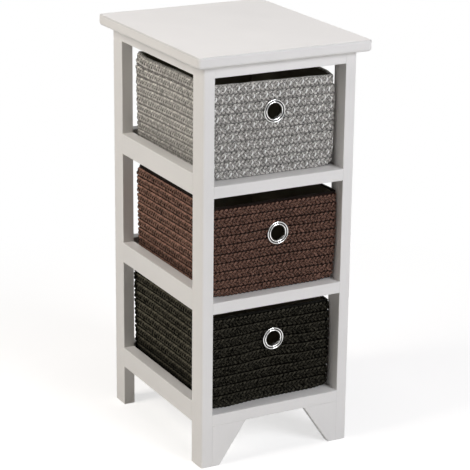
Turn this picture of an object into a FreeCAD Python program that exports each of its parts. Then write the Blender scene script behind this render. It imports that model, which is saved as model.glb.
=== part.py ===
import FreeCAD, Part
import os
import re
import Sketcher

# Free-standing bathroom cabinet: a painted wooden frame with an overhanging top,
# three shelves open at the front and the sides, and three woven baskets that pull out.
# Millimetres, +Z up, the front faces -Y, the origin is on the floor under the middle.

# Driving dimensions, each with its place on the object.
SIZES = [
    ("frame_width", 230, "across the outer faces of the posts"),
    ("frame_depth", 280, "front to back over the posts"),
    ("stock", 16.5, "thickness of posts, rails and shelves"),
    ("post_depth", 30, "post, front to back"),
    ("rail_height", 30, "side or back rail beside a shelf"),
    ("leg_height", 60, "floor to the underside of the lowest shelf"),
    ("opening_height", 146, "clear height of a bay"),
    ("post_corner_radius", 3, "outer upright corner of a post"),
    ("board_ease", 0.6, "broken edge of posts, rails, shelves and brackets"),
    ("top_thickness", 16, "top board"),
    ("top_overhang", 15, "top board past the frame, all round"),
    ("top_corner_radius", 5, "upright corners of the top board"),
    ("top_upper_radius", 2.5, "upper edge of the top board"),
    ("top_lower_radius", 4.5, "lower edge of the top board"),
    ("bracket_foot", 11.5, "foot bracket beside the post, on the floor"),
    ("bracket_head", 52.5, "foot bracket beside the post, under the shelf"),
    ("bracket_thickness", 12, "foot bracket, front to back"),
    ("dowel_diameter", 6, "wood dowel"),
    ("dowel_length", 22, "wood dowel"),
    ("dowel_spacing", 15, "between the two dowels in the end of a deep rail"),
    ("bore_gap", 0.1, "room round a dowel, bolt, lock or screw in its hole"),
    ("bracket_dowel_drop", 22, "dowel from bracket to post, below the shelf"),
    ("bracket_dowel_reach", 24, "dowel from bracket to shelf, from the post"),
    ("cam_diameter", 12, "cam lock"),
    ("cam_cover", 4, "cam lock above the axis of its bolt"),
    ("cam_inset", 22, "cam lock axis from the end of its shelf"),
    ("cam_slot_width", 1.6, "driver slot in the cam lock"),
    ("cam_slot_depth", 2, "driver slot in the cam lock"),
    ("cam_station", 70, "cam locks in front of and behind the middle"),
    ("bolt_diameter", 5, "cam bolt"),
    ("bolt_bite", 10, "cam bolt inside the side rail"),
    ("bolt_head_diameter", 6.4, "cam bolt head inside the lock"),
    ("bolt_head_length", 3, "cam bolt head inside the lock"),
    ("screw_diameter", 3.8, "screw that holds the top board"),
    ("screw_bite", 10.5, "screw inside the top board"),
    ("screw_head_diameter", 7.6, "countersunk head"),
    ("screw_head_height", 2.6, "countersunk head"),
    ("screw_station", 60, "screws from the middle of each top rail"),
    ("basket_side_gap", 2.5, "rim of a basket to the posts beside it"),
    ("basket_head_gap", 17, "rim of a basket to the board above it"),
    ("basket_end_gap", 25.5, "free length of the shelf before and behind a basket"),
    ("basket_draft", 2.5, "how far each wall leans out between floor and rim"),
    ("basket_corner", 8, "upright corners of the weave"),
    ("basket_shift", 1.5, "baskets right of the middle, towards the right-hand posts"),
    ("weave", 4.5, "thickness of the woven wall and floor"),
    ("base_thickness", 2, "stiff board on the woven floor"),
    ("lining_thickness", 0.8, "fabric lining"),
    ("lining_gap", 0.2, "between the weave and what lies inside it"),
    ("binding_height", 3, "tape on the rim"),
    ("eyelet_diameter", 32, "flange of the eyelet"),
    ("eyelet_bore", 22, "finger hole"),
    ("eyelet_flange", 2, "flange in front of the weave"),
    ("eyelet_tube", 1.2, "wall of the tube through the weave"),
    ("eyelet_groove", 0.8, "width of the groove between the two beads of the flange"),
    ("eyelet_groove_depth", 1, "groove between the two beads of the flange"),
    ("eyelet_lip", 2.2, "inner bead of the flange"),
    ("eyelet_roll", 0.8, "rounded edges of the beads"),
    ("washer_thickness", 1.2, "ring behind the lining"),
    ("eyelet_gap", 0.15, "eyelet and washer to the weave and lining"),
    ("upper_setback", 18, "rim of the upper basket behind the front plane"),
    ("middle_setback", 13.5, "rim of the middle basket behind the front plane"),
    ("lower_setback", 25, "rim of the lower basket behind the front plane"),
    ("upper_eyelet_drop", 41, "eyelet axis under the rim of the upper basket"),
    ("middle_eyelet_drop", 48, "eyelet axis under the rim of the middle basket"),
    ("lower_eyelet_drop", 43, "eyelet axis under the rim of the lower basket"),
    ("upper_eyelet_offset", -1.5, "eyelet axis right of the middle of the upper basket"),
    ("middle_eyelet_offset", 4.5, "eyelet axis right of the middle of the middle basket"),
    ("lower_eyelet_offset", 6.5, "eyelet axis right of the middle of the lower basket"),
    ("overrun", 5, "how far a cutter passes the face that it cuts"),
]

LEVELS = ["lower", "middle", "upper"]
SIDES = [("left", -1), ("right", 1)]
ENDS = [("front", -1), ("back", 1)]

# Derived places, written in the driving dimensions.
HALF_DEPTH = "(frame_depth / 2)"
INNER_HALF = "(frame_width / 2 - stock)"
INNER_WIDTH = "(frame_width - 2 * stock)"
RAIL_END = "(frame_depth / 2 - post_depth)"
SIDE_MIDDLE = "(frame_width / 2 - stock / 2)"
END_MIDDLE = "(frame_depth / 2 - stock / 2)"
PITCH = "(opening_height + stock)"
TOP_RAIL_FLOOR = "(leg_height + %d * %s)" % (len(LEVELS), PITCH)
POST_HEIGHT = "(%s + stock)" % TOP_RAIL_FLOOR

doc = FreeCAD.newDocument("BathroomCabinet")
sheet = doc.addObject("Spreadsheet::Sheet", "Sizes")
for row, (name, value, note) in enumerate(SIZES, start=1):
    sheet.set("A%d" % row, name)
    sheet.set("B%d" % row, str(value))
    sheet.set("C%d" % row, note)
    sheet.setAlias("B%d" % row, name)
doc.recompute()

NAMES = {name for name, value, note in SIZES}
nodes = []
bores = {}


def linked(expression):
    """The expression with every size name pointing at its cell in the sheet."""
    return re.sub(r"[A-Za-z_]\w*", lambda m: "Sizes." + m[0] if m[0] in NAMES else m[0], expression)


def bind(item, **expressions):
    """Ties properties of an object to expressions of the driving dimensions."""
    for name, expression in expressions.items():
        item.setExpression(name, linked(expression))
    return item


def place(item, x="0", y="0", z="0"):
    """Ties an object's position to expressions of the driving dimensions."""
    for axis, expression in zip("xyz", (x, y, z)):
        item.setExpression("Placement.Base." + axis, linked(expression))
    return item


def turn(item, axis, angle):
    """Turns an object about an axis of the frame by an angle given as an expression."""
    for name, value in zip("xyz", axis):
        item.setExpression("Placement.Rotation.Axis." + name, str(value))
    item.setExpression("Placement.Rotation.Angle", linked(angle))
    return item


def node(item, label):
    """Names an object as a finished sub-part."""
    item.Label = label
    nodes.append(item)
    return item


def sketch_on(body, role="XY_Plane"):
    sketch = body.newObject("Sketcher::SketchObject", body.Name + "_outline")
    sketch.AttachmentSupport = (next(f for f in body.Origin.OriginFeatures if f.Role == role), "")
    sketch.MapMode = "FlatFace"
    return sketch


def polygon(sketch, corners):
    """A closed outline; two expressions hold each corner from the sketch's origin."""
    count = len(corners)
    points = [FreeCAD.Vector(*[sketch.evalExpression(linked(e)) for e in corner], 0) for corner in corners]
    for start, end in zip(points, points[1:] + points[:1]):
        sketch.addGeometry(Part.LineSegment(start, end), False)
    for index in range(count):
        sketch.addConstraint(Sketcher.Constraint("Coincident", index, 2, (index + 1) % count, 1))
    for index, (corner, point) in enumerate(zip(corners, points)):
        for kind, expression, value in zip(("DistanceX", "DistanceY"), corner, point):
            number = sketch.addConstraint(Sketcher.Constraint(kind, -1, 1, index, 1, value))
            sketch.setExpression("Constraints[%d]" % number, linked(expression))


def pad(body, sketch, length, **more):
    feature = body.newObject("PartDesign::Pad", body.Name + "_pad")
    feature.Profile = sketch
    bind(feature, Length=length, **more)
    doc.recompute()
    return feature


def fillet(body, base, chosen, radius, name):
    """Rounds the edges of the base feature that the test accepts."""
    edges = ["Edge%d" % number for number, edge in enumerate(base.Shape.Edges, start=1) if chosen(edge)]
    feature = body.newObject("PartDesign::Fillet", body.Name + name)
    feature.Base = (base, edges)
    bind(feature, Radius=radius)
    body.Tip = feature
    doc.recompute()
    return feature


def direction(edge):
    """The row axis that a straight edge runs along, or nothing."""
    span = edge.lastVertex().Point - edge.firstVertex().Point
    for axis, value in zip("xyz", span):
        if abs(value) > (1 - edge.Tolerance) * span.Length:
            return axis
    return ""


def blank(label, low, size):
    """A square-edged board; its low corner and its sizes are three expressions each."""
    body = doc.addObject("PartDesign::Body", label)
    width, depth, height = size
    outline = sketch_on(body)
    polygon(outline, [("0", "0"), (width, "0"), (width, depth), ("0", depth)])
    feature = pad(body, outline, height)
    place(body, *low)
    return body, feature


def cylinder(label, radius, height, at, axis=(0, 0, 1)):
    """A round bar that starts at a point and runs along a row axis."""
    item = doc.addObject("Part::Cylinder", label)
    bind(item, Radius=radius, Height=height)
    if axis[0]:
        turn(item, (0, axis[0], 0), "90")
    if axis[1]:
        turn(item, (-axis[1], 0, 0), "90")
    return place(item, *at)


def group(label, items):
    """Separate solids kept together."""
    item = doc.addObject("Part::Compound", label)
    item.Links = items
    return item


def cut(label, base, tool):
    item = doc.addObject("Part::Cut", label)
    item.Base = base
    item.Tool = tool
    return item


def fuse(label, items):
    item = doc.addObject("Part::MultiFuse", label)
    item.Shapes = items
    return item


def bore(tool, *labels):
    """Notes a cutter for the boards that it enters."""
    for label in labels:
        bores.setdefault(label, []).append(tool)


def shelf_floor(level):
    """Underside of a shelf, counted from the lowest."""
    return "(leg_height + %d * %s)" % (level, PITCH)


# Dowels, each about a point on the plane where two boards meet, with the hole that takes it.
dowels = {"side_rail_dowels": [], "cross_rail_dowels": [], "bracket_dowels": []}


def dowel(kind, middle, axis, *labels):
    number = len(dowels[kind])
    sizes = [("pin", "dowel_diameter / 2", "dowel_length"),
             ("hole", "dowel_diameter / 2 + bore_gap", "dowel_length + 2 * bore_gap")]
    items = []
    for suffix, radius, length in sizes:
        start = ["%s - %d * (%s) / 2" % (m, a, length) for m, a in zip(middle, axis)]
        items.append(cylinder("%s_%s_%d" % (kind, suffix, number), radius, length, start, axis))
    dowels[kind].append(items[0])
    bore(items[1], *labels)


def dowel_heights(level):
    return ["%s + rail_height / 2 + %d * dowel_spacing / 2" % (shelf_floor(level), half) for half in (-1, 1)]


TOP_RAIL_MIDDLE = "%s + stock / 2" % TOP_RAIL_FLOOR
for side, sx in SIDES:
    side_x = "%d * %s" % (sx, SIDE_MIDDLE)
    inner_x = "%d * %s" % (sx, INNER_HALF)
    for end, sy in ENDS:
        post = "%s_%s_post" % (end, side)
        joint_y = "%d * %s" % (sy, RAIL_END)
        end_y = "%d * %s" % (sy, END_MIDDLE)
        dowel("side_rail_dowels", (side_x, joint_y, TOP_RAIL_MIDDLE), (0, 1, 0), post, side + "_top_rail")
        dowel("cross_rail_dowels", (inner_x, end_y, TOP_RAIL_MIDDLE), (1, 0, 0), post, end + "_top_rail")
        for level, name in enumerate(LEVELS):
            for height in dowel_heights(level):
                rail = "%s_%s_rail" % (side, name)
                dowel("side_rail_dowels", (side_x, joint_y, height), (0, 1, 0), post, rail)
                if end == "back":
                    back_rail = "back_%s_rail" % name
                    dowel("cross_rail_dowels", (inner_x, end_y, height), (1, 0, 0), post, back_rail)
    bracket = side + "_foot_bracket"
    bracket_y = "bracket_thickness / 2 - " + HALF_DEPTH
    reach_x = "%d * (%s - bracket_dowel_reach)" % (sx, INNER_HALF)
    dowel("bracket_dowels", (inner_x, bracket_y, "leg_height - bracket_dowel_drop"), (1, 0, 0),
          bracket, "front_%s_post" % side)
    dowel("bracket_dowels", (reach_x, bracket_y, "leg_height"), (0, 0, 1), bracket, "lower_shelf")

# Cam fittings: a bolt out of each side rail, and the lock under the shelf that draws it in.
cam_bolts = []
cam_locks = []
HEAD_START = "(cam_inset - bolt_head_length / 2)"
CAM_HEIGHT = "(stock / 2 + cam_cover)"
for level, name in enumerate(LEVELS):
    floor = shelf_floor(level)
    axis_z = "%s + stock / 2" % floor
    for side, sx in SIDES:
        inward = (-sx, 0, 0)
        lock_x = "%d * (%s - cam_inset)" % (sx, INNER_HALF)
        for end, sy in ENDS:
            tag = "_%s_%s_%s" % (name, side, end)
            station = "%d * cam_station" % sy

            def along(label, radius, start, length):
                """A round bar on the bolt's axis; its start is measured into the shelf."""
                at = "%d * (%s - (%s))" % (sx, INNER_HALF, start)
                return cylinder(label + tag, radius, length, (at, station, axis_z), inward)

            shaft = along("bolt_shaft", "bolt_diameter / 2", "-bolt_bite", "bolt_bite + " + HEAD_START)
            head = along("bolt_head", "bolt_head_diameter / 2", HEAD_START, "bolt_head_length")
            cam_bolts.append(fuse("cam_bolt" + tag, [shaft, head]))

            body = cylinder("lock_body" + tag, "cam_diameter / 2", CAM_HEIGHT, (lock_x, station, floor))
            mouth = along("lock_mouth", "bolt_head_diameter / 2 + bore_gap", "-overrun",
                          "overrun + cam_inset + bolt_head_length / 2 + bore_gap")
            slot = doc.addObject("Part::Box", "lock_slot" + tag)
            bind(slot, Length="cam_diameter", Width="cam_slot_width", Height="cam_slot_depth")
            place(slot, lock_x + " - cam_diameter / 2", station + " - cam_slot_width / 2", floor)
            cam_locks.append(cut("cam_lock" + tag, body, group("lock_cuts" + tag, [mouth, slot])))

            bore(along("bolt_hole", "bolt_diameter / 2 + bore_gap", "-bolt_bite - bore_gap",
                       "bolt_bite + bore_gap + overrun"), "%s_%s_rail" % (side, name))
            well = cylinder("lock_well" + tag, "cam_diameter / 2 + bore_gap",
                            CAM_HEIGHT + " + bore_gap + overrun", (lock_x, station, floor + " - overrun"))
            bore(fuse("lock_hole" + tag, [well, mouth]), name + "_shelf")

# Screws: countersunk heads in the undersides of the top rails, points in the top board.
top_screws = []
for first, first_sign in ENDS + SIDES:
    for reach in (-1, 1):
        across = "%d * screw_station" % reach
        if first in ("left", "right"):
            at = ("%d * %s" % (first_sign, SIDE_MIDDLE), across, TOP_RAIL_FLOOR)
        else:
            at = (across, "%d * %s" % (first_sign, END_MIDDLE), TOP_RAIL_FLOOR)
        for kind, gap in (("screw", "0"), ("screw_hole", "bore_gap")):
            tag = "%s_%s_%d" % (kind, first, len(top_screws))
            shank = cylinder(tag + "_shank", "screw_diameter / 2 + " + gap, "stock + screw_bite + " + gap, at)
            head = doc.addObject("Part::Cone", tag + "_head")
            bind(head, Radius1="screw_head_diameter / 2 + " + gap, Radius2="screw_diameter / 2 + " + gap,
                 Height="screw_head_height + " + gap)
            whole = fuse(tag, [shank, place(head, *at)])
            if kind == "screw":
                top_screws.append(whole)
            else:
                bore(whole, first + "_top_rail", "top_board")


def board(label, body):
    """A finished board: its blank with the holes that enter it."""
    body.Label = label + "_blank"
    return node(cut(label + "_bored", body, group(label + "_holes", bores[label])), label)


def eased_board(label, low, size, along):
    """A board whose long edges, those along one axis, are broken."""
    body, feature = blank(label, low, size)
    fillet(body, feature, lambda edge: direction(edge) == along, "board_ease", "_ease")
    return board(label, body)


# Posts run from the floor to the top board, with a rounder outer corner.
for end, sy in ENDS:
    for side, sx in SIDES:
        label = "%s_%s_post" % (end, side)
        low_x = "%d * %s - stock / 2" % (sx, SIDE_MIDDLE)
        low_y = "%d * (%s - post_depth / 2) - post_depth / 2" % (sy, HALF_DEPTH)
        body, feature = blank(label, (low_x, low_y, "0"), ("stock", "post_depth", POST_HEIGHT))

        def upright(edge, outer):
            """Upright edges: at the outer corner of the frame, or away from it."""
            middle = edge.CenterOfMass - feature.Shape.BoundBox.Center
            return direction(edge) == "z" and outer == (middle.x * sx > 0 and middle.y * sy > 0)

        eased = fillet(body, feature, lambda edge: upright(edge, False), "board_ease", "_ease")
        fillet(body, eased, lambda edge: upright(edge, True), "post_corner_radius", "_corner")
        board(label, body)

# Side rails tie a front post to a back post, back rails tie the two back posts.
for side, sx in SIDES:
    low_x = "%d * %s - stock / 2" % (sx, SIDE_MIDDLE)
    length = "frame_depth - 2 * post_depth"
    for level, name in enumerate(LEVELS):
        eased_board("%s_%s_rail" % (side, name), (low_x, "-" + RAIL_END, shelf_floor(level)),
                    ("stock", length, "rail_height"), "y")
    eased_board(side + "_top_rail", (low_x, "-" + RAIL_END, TOP_RAIL_FLOOR), ("stock", length, "stock"), "y")
BACK_RAIL_FACE = "(frame_depth / 2 - stock)"
for level, name in enumerate(LEVELS):
    eased_board("back_%s_rail" % name, ("-" + INNER_HALF, BACK_RAIL_FACE, shelf_floor(level)),
                (INNER_WIDTH, "stock", "rail_height"), "x")

# Cross rails under the top board, one in front and one behind.
for end, sy in ENDS:
    low_y = "%d * %s - stock / 2" % (sy, END_MIDDLE)
    eased_board(end + "_top_rail", ("-" + INNER_HALF, low_y, TOP_RAIL_FLOOR),
                (INNER_WIDTH, "stock", "stock"), "x")

# Shelves lie between the side frames, flush in front, and end at the back rail.
for level, name in enumerate(LEVELS):
    eased_board(name + "_shelf", ("-" + INNER_HALF, "-" + HALF_DEPTH, shelf_floor(level)),
                (INNER_WIDTH, "frame_depth - stock", "stock"), "x")

# Foot brackets: slanted boards in the front plane, between a post and the lowest shelf.
for side, sx in SIDES:
    label = side + "_foot_bracket"
    body = doc.addObject("PartDesign::Body", label)
    outline = sketch_on(body, "XZ_Plane")
    edges = ["%d * (%s - %s)" % (sx, INNER_HALF, reach) for reach in ("0", "bracket_foot", "bracket_head")]
    polygon(outline, [(edges[0], "0"), (edges[1], "0"), (edges[2], "leg_height"), (edges[0], "leg_height")])
    feature = pad(body, outline, "bracket_thickness")
    place(body, "0", "bracket_thickness - " + HALF_DEPTH, "0")
    fillet(body, feature, lambda edge: not direction(edge), "board_ease", "_ease")
    board(label, body)

# Top board: rounded corners, a small radius above and a larger one below.
TOP_WIDTH = "(frame_width + 2 * top_overhang)"
TOP_DEPTH = "(frame_depth + 2 * top_overhang)"
body, feature = blank("top_board", ("-%s / 2" % TOP_WIDTH, "-%s / 2" % TOP_DEPTH, POST_HEIGHT),
                      (TOP_WIDTH, TOP_DEPTH, "top_thickness"))
top_middle = feature.Shape.BoundBox.Center.z


def rim(edge, upper):
    """Edges that lie wholly in the upper or the lower half of the top board."""
    return edge.BoundBox.ZMin > top_middle if upper else edge.BoundBox.ZMax < top_middle


corners = fillet(body, feature, lambda edge: direction(edge) == "z", "top_corner_radius", "_corners")
lower = fillet(body, corners, lambda edge: rim(edge, False), "top_lower_radius", "_lower_edge")
fillet(body, lower, lambda edge: rim(edge, True), "top_upper_radius", "_upper_edge")
board("top_board", body)

for kind, pins in dowels.items():
    node(group(kind + "_set", pins), kind)
node(group("cam_bolt_set", cam_bolts), "cam_bolts")
node(group("cam_lock_set", cam_locks), "cam_locks")
node(group("top_screw_set", top_screws), "top_screws")

# Baskets: a woven shell that widens upwards, a base board and a lining inside it,
# a tape on the rim, and an eyelet through the front wall that a washer clinches.
BASKET_WIDTH = "(%s - 2 * basket_side_gap)" % INNER_WIDTH
BASKET_DEPTH = "(frame_depth - stock - basket_end_gap)"
BASKET_HEIGHT = "(opening_height - basket_head_gap)"
SHELL_HEIGHT = "(%s - binding_height)" % BASKET_HEIGHT
SLOPE = "(basket_draft / %s)" % BASKET_HEIGHT
DRAFT_ANGLE = "atan(%s)" % SLOPE
LINING_FACE = "(weave + lining_gap)"
INNER_FACE = "(weave + lining_gap + lining_thickness)"
LINING_FLOOR = "(weave + base_thickness)"
BARREL = "(eyelet_bore / 2 + eyelet_tube)"
WASHER_FACE = "(%s + eyelet_gap)" % INNER_FACE
WASHER_BACK = "(%s + washer_thickness)" % WASHER_FACE


def half_size(size, height):
    """Half a basket's width or depth over the weave, at a height above its shelf."""
    return "(%s / 2 - basket_draft + %s * (%s))" % (size, SLOPE, height)


def basket_block(label, basket, floor, height, inset):
    """A solid with the basket's leaning walls, between two levels, inset from the face of the weave."""
    body = doc.addObject("PartDesign::Body", label)
    half_x = "(%s - (%s))" % (half_size(BASKET_WIDTH, floor), inset)
    half_y = "(%s - (%s))" % (half_size(BASKET_DEPTH, floor), inset)
    outline = sketch_on(body)
    polygon(outline, [("%d * %s" % (sx, half_x), "%d * %s" % (sy, half_y))
                      for sx, sy in ((-1, -1), (1, -1), (1, 1), (-1, 1))])
    feature = pad(body, outline, height, TaperAngle=DRAFT_ANGLE)
    box = feature.Shape.BoundBox
    fillet(body, feature, lambda edge: edge.BoundBox.ZLength > box.ZLength / 2,
           "basket_corner - (%s)" % inset, "_corners")
    return place(body, "basket_shift", basket["middle"], "%s + %s" % (basket["floor"], floor))


def square_to_front(item, basket, start):
    """Stands an object on the front wall, its own height outwards, from a distance outside the weave."""
    turn(item, (1, 0, 0), "90 deg + " + DRAFT_ANGLE)
    height = "(%s - %s)" % (BASKET_HEIGHT, basket["drop"])
    face = half_size(BASKET_DEPTH, height)
    return place(item, "basket_shift + " + basket["offset"],
                 "%s - %s - (%s) * cos(%s)" % (basket["middle"], face, start, DRAFT_ANGLE),
                 "%s + %s - (%s) * sin(%s)" % (basket["floor"], height, start, DRAFT_ANGLE))


def front_bar(label, basket, radius, start, length):
    item = doc.addObject("Part::Cylinder", label)
    bind(item, Radius=radius, Height=length)
    return square_to_front(item, basket, start)


def eyelet(label, basket):
    """Tube and flange in one turned piece, with a groove between two beads."""
    body = doc.addObject("PartDesign::Body", label)
    outline = sketch_on(body, "XZ_Plane")
    front = "eyelet_gap + eyelet_flange"
    lip = "eyelet_bore / 2 + eyelet_lip"
    polygon(outline, [("eyelet_bore / 2", "-" + WASHER_BACK), (BARREL, "-" + WASHER_BACK),
                      (BARREL, "eyelet_gap"), ("eyelet_diameter / 2", "eyelet_gap"),
                      ("eyelet_diameter / 2", front), (lip + " + eyelet_groove", front),
                      (lip + " + eyelet_groove", front + " - eyelet_groove_depth"),
                      (lip, front + " - eyelet_groove_depth"), (lip, front), ("eyelet_bore / 2", front)])
    turned = body.newObject("PartDesign::Revolution", body.Name + "_turned")
    turned.Profile = outline
    turned.ReferenceAxis = (outline, ["V_Axis"])
    doc.recompute()
    level = turned.evalExpression(linked(front))
    fillet(body, turned, lambda edge: edge.isClosed() and edge.CenterOfMass.z > level - edge.Tolerance,
           "eyelet_roll", "_beads")
    return square_to_front(body, basket, "0")


for level, name in enumerate(LEVELS):
    basket = {"middle": "(%s_setback + %s / 2 - %s)" % (name, BASKET_DEPTH, HALF_DEPTH),
              "floor": "(%s + stock)" % shelf_floor(level),
              "drop": name + "_eyelet_drop", "offset": name + "_eyelet_offset"}
    tag = name + "_basket_"
    hole = front_bar(tag + "hole", basket, BARREL + " + eyelet_gap", "-%s - overrun" % WASHER_BACK,
                     WASHER_BACK + " + 2 * overrun")

    outer = basket_block(tag + "outer", basket, "0", SHELL_HEIGHT, "0")
    cavity = basket_block(tag + "cavity", basket, "weave", BASKET_HEIGHT, "weave")
    node(cut(tag + "weave_bored", cut(tag + "shell", outer, cavity), hole), tag + "weave")

    node(basket_block(tag + "base_board", basket, "weave", "base_thickness", LINING_FACE), tag + "base")

    cloth = basket_block(tag + "cloth", basket, LINING_FLOOR, "%s - %s" % (SHELL_HEIGHT, LINING_FLOOR),
                         LINING_FACE)
    room = basket_block(tag + "room", basket, LINING_FLOOR + " + lining_thickness", BASKET_HEIGHT, INNER_FACE)
    node(cut(tag + "lining_bored", cut(tag + "bag", cloth, room), hole), tag + "lining")

    tape = basket_block(tag + "tape", basket, SHELL_HEIGHT, "binding_height", "0")
    mouth = basket_block(tag + "mouth", basket, SHELL_HEIGHT + " - overrun", BASKET_HEIGHT, INNER_FACE)
    node(cut(tag + "tape_ring", tape, mouth), tag + "binding")

    node(eyelet(tag + "eyelet_body", basket), tag + "eyelet")

    disc = front_bar(tag + "disc", basket, "eyelet_diameter / 2", "-" + WASHER_BACK, "washer_thickness")
    node(cut(tag + "washer_ring", disc, hole), tag + "washer")

doc.recompute()

# Nothing is written unless every object is sound.
faults = [item.Name for item in doc.Objects if {"Invalid", "Error"} & set(item.State)]
faults += [item.Label for item in nodes if item.Shape.isNull() or not item.Shape.isValid()]
if faults:
    raise RuntimeError("objects that failed: " + ", ".join(faults))

os.makedirs("parts", exist_ok=True)
for item in nodes:
    item.Shape.exportStep("parts/%s.step" % item.Label)
    print("%-24s solids %3d  volume %10.1f" % (item.Label, len(item.Shape.Solids), item.Shape.Volume))
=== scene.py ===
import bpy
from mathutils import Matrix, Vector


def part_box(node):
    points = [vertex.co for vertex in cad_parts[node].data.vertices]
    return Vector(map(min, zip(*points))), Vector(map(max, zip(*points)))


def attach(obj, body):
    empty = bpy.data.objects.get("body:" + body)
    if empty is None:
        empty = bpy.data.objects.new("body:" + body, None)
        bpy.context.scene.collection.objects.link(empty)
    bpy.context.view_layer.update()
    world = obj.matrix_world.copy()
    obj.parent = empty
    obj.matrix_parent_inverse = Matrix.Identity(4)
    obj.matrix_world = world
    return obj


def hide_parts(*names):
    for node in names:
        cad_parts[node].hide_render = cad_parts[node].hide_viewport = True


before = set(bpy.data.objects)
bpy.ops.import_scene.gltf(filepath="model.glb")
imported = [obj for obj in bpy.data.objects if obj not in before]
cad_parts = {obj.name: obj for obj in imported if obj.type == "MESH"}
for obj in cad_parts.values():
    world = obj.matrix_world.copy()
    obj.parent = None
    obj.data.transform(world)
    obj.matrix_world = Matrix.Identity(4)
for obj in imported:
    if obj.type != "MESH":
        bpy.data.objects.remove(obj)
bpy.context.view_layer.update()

import math

import bpy
import numpy as np
from mathutils import Matrix, Vector

# White wooden bathroom cabinet with three baskets of sewn braid.
# Metres, +Z up, the front faces -Y; basket shapes are worked out in millimetres.
MM = 0.001
FULL_TURN = 2 * math.pi
LEVELS = ("lower", "middle", "upper")

# Baskets: wall and braid sizes, in millimetres.
WALL = 4.5
DRAFT = 2.5
HEEL = 12.0
BRAID_PITCH = 19.4
BRAID_INSET = 2.3
BRAID_EDGE = 0.8
CORDS_IN_BRAID = 3
CORD_WIDTH = 4.2
CORD_THICKNESS = 2.2
CORD_SWING = 3.85
CORD_ROW = 12.7
CORD_DEPTH = 0.9
CORD_SIDES = 8
CORD_CLEAR = 0.05
STEPS_PER_PITCH = 16
SEAM_WIDTH = 2.4
SEAM_CLEAR = 0.1
RING_STEPS = 420

# Least height of the lowest row, as a share of the others.
LAST_ROW_SHARE = 0.2

# Uneven rows, by the size and number of waves round the basket: two of height, one of width, one of stretch.
ROW_WAVES = ((0.14, 3), (0.08, 8), (0.035, 5), (0.35, 7))

# Pale thread of the grey basket, in millimetres.
THREAD_WIDTH = 2.8
THREAD_THICKNESS = 1.0
THREAD_SWING = 4.4
THREAD_INSET = 0.1
THREAD_DIVE = 5.0
THREAD_DEEPEST = 4.0
THREAD_LOWEST = 2.0
THREAD_SIDE_DEPTH = 1.8
THREAD_LEAD = 0.4
THREAD_SQUARENESS = 1.6
THREAD_FADE_ROWS = 3
THREAD_LOOSE = (0.25, 0.2)
THREAD_LOOSE_PACE = 0.37

# Where the thread falls, and in the rows where it is faint, it lies deeper and is narrower.
THREAD_TURNING = (0.3, -0.3)
THREAD_FALL_DEPTH, THREAD_FALL_THINNING = 0.3, 0.25
THREAD_FAINT_DEPTH, THREAD_FAINT_THINNING = 0.3, 0.15
THREAD_PLAIN_LOOSENESS, THREAD_FAINT_LOOSENESS = 0.25, 0.6

# Plait under the basket.
FLOOR_GAP = 0.6
FLOOR_LEAST_RADIUS = 1.0
FLOOR_SWING_SHARE = 0.93
FLOOR_STEPS_PER_PITCH = 12

# Lining, rim tape and eyelet, in millimetres.
LINING_THICKNESS = 0.7
LINING_GAP = 0.6
LINING_LIFT = 2.5
LINING_OVER = 0.5
LINING_TURN = 5.0
LINING_UNDER_RING = 0.5
LINING_FOLDS = ((9, 0.35), (17, 0.25), (31, 0.12))
FOLD_LEAN = 3
FOLD_LEAN_RISE = 60
FOLD_FADE_RIM = 12
FOLD_FADE_FLOOR = 20
FOLD_HOLD = (17, 30)
TAPE_HEIGHT = 2.3
TAPE_INSET = 1.0
TAPE_INSIDE = 1.1
TAPE_WAVES = ((0.18, 13, 1), (0.12, 29, 2))
TAPE_DROP = 0.3
BEAD_OUTER = 0.9
BEAD_INNER = 1.0
RING_DEPTH = 2.0
GROOVE_RISE = 0.3
EYELET_BORE = 11.0
EYELET_CLEAR = 13.3

# Soft walls: where they give way, as shares of the height and half widths, except where a name ends in MM.
LEAST_ARC_RADIUS_MM = 3.0
LEAST_RADIUS_MM = 1.2
CORNER_ZONE = (0.75, 1)
HEEL_AT_WALL = 0.12
HEEL_AT_CORNER = 0.68
GIVE_POWER = 1.3
END_ZONE = (0.7, 0.93)
TWIST_ZONE = (0.1, 0.95)
EYELET_HOLD_MM = (18, 55)
SLACK_BACK = (0.2, 1.0)
SLACK_FRONT = (-1.0, -0.5)
SLACK_MIDDLE = 0.66
SLACK_SLOPE = 0.2
HANG_ZONE = (0, 0.25)
RIM_ZONE = (0.85, 1.0)
RIM_HOLD = 0.45
DENT_START = 0.72
TUCK_START = 0.9
DENT_FALL = 0.3
DENT_REACH_MM = 22
FRONT_FACING = -0.9
FAR_MM = 1e6


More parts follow.
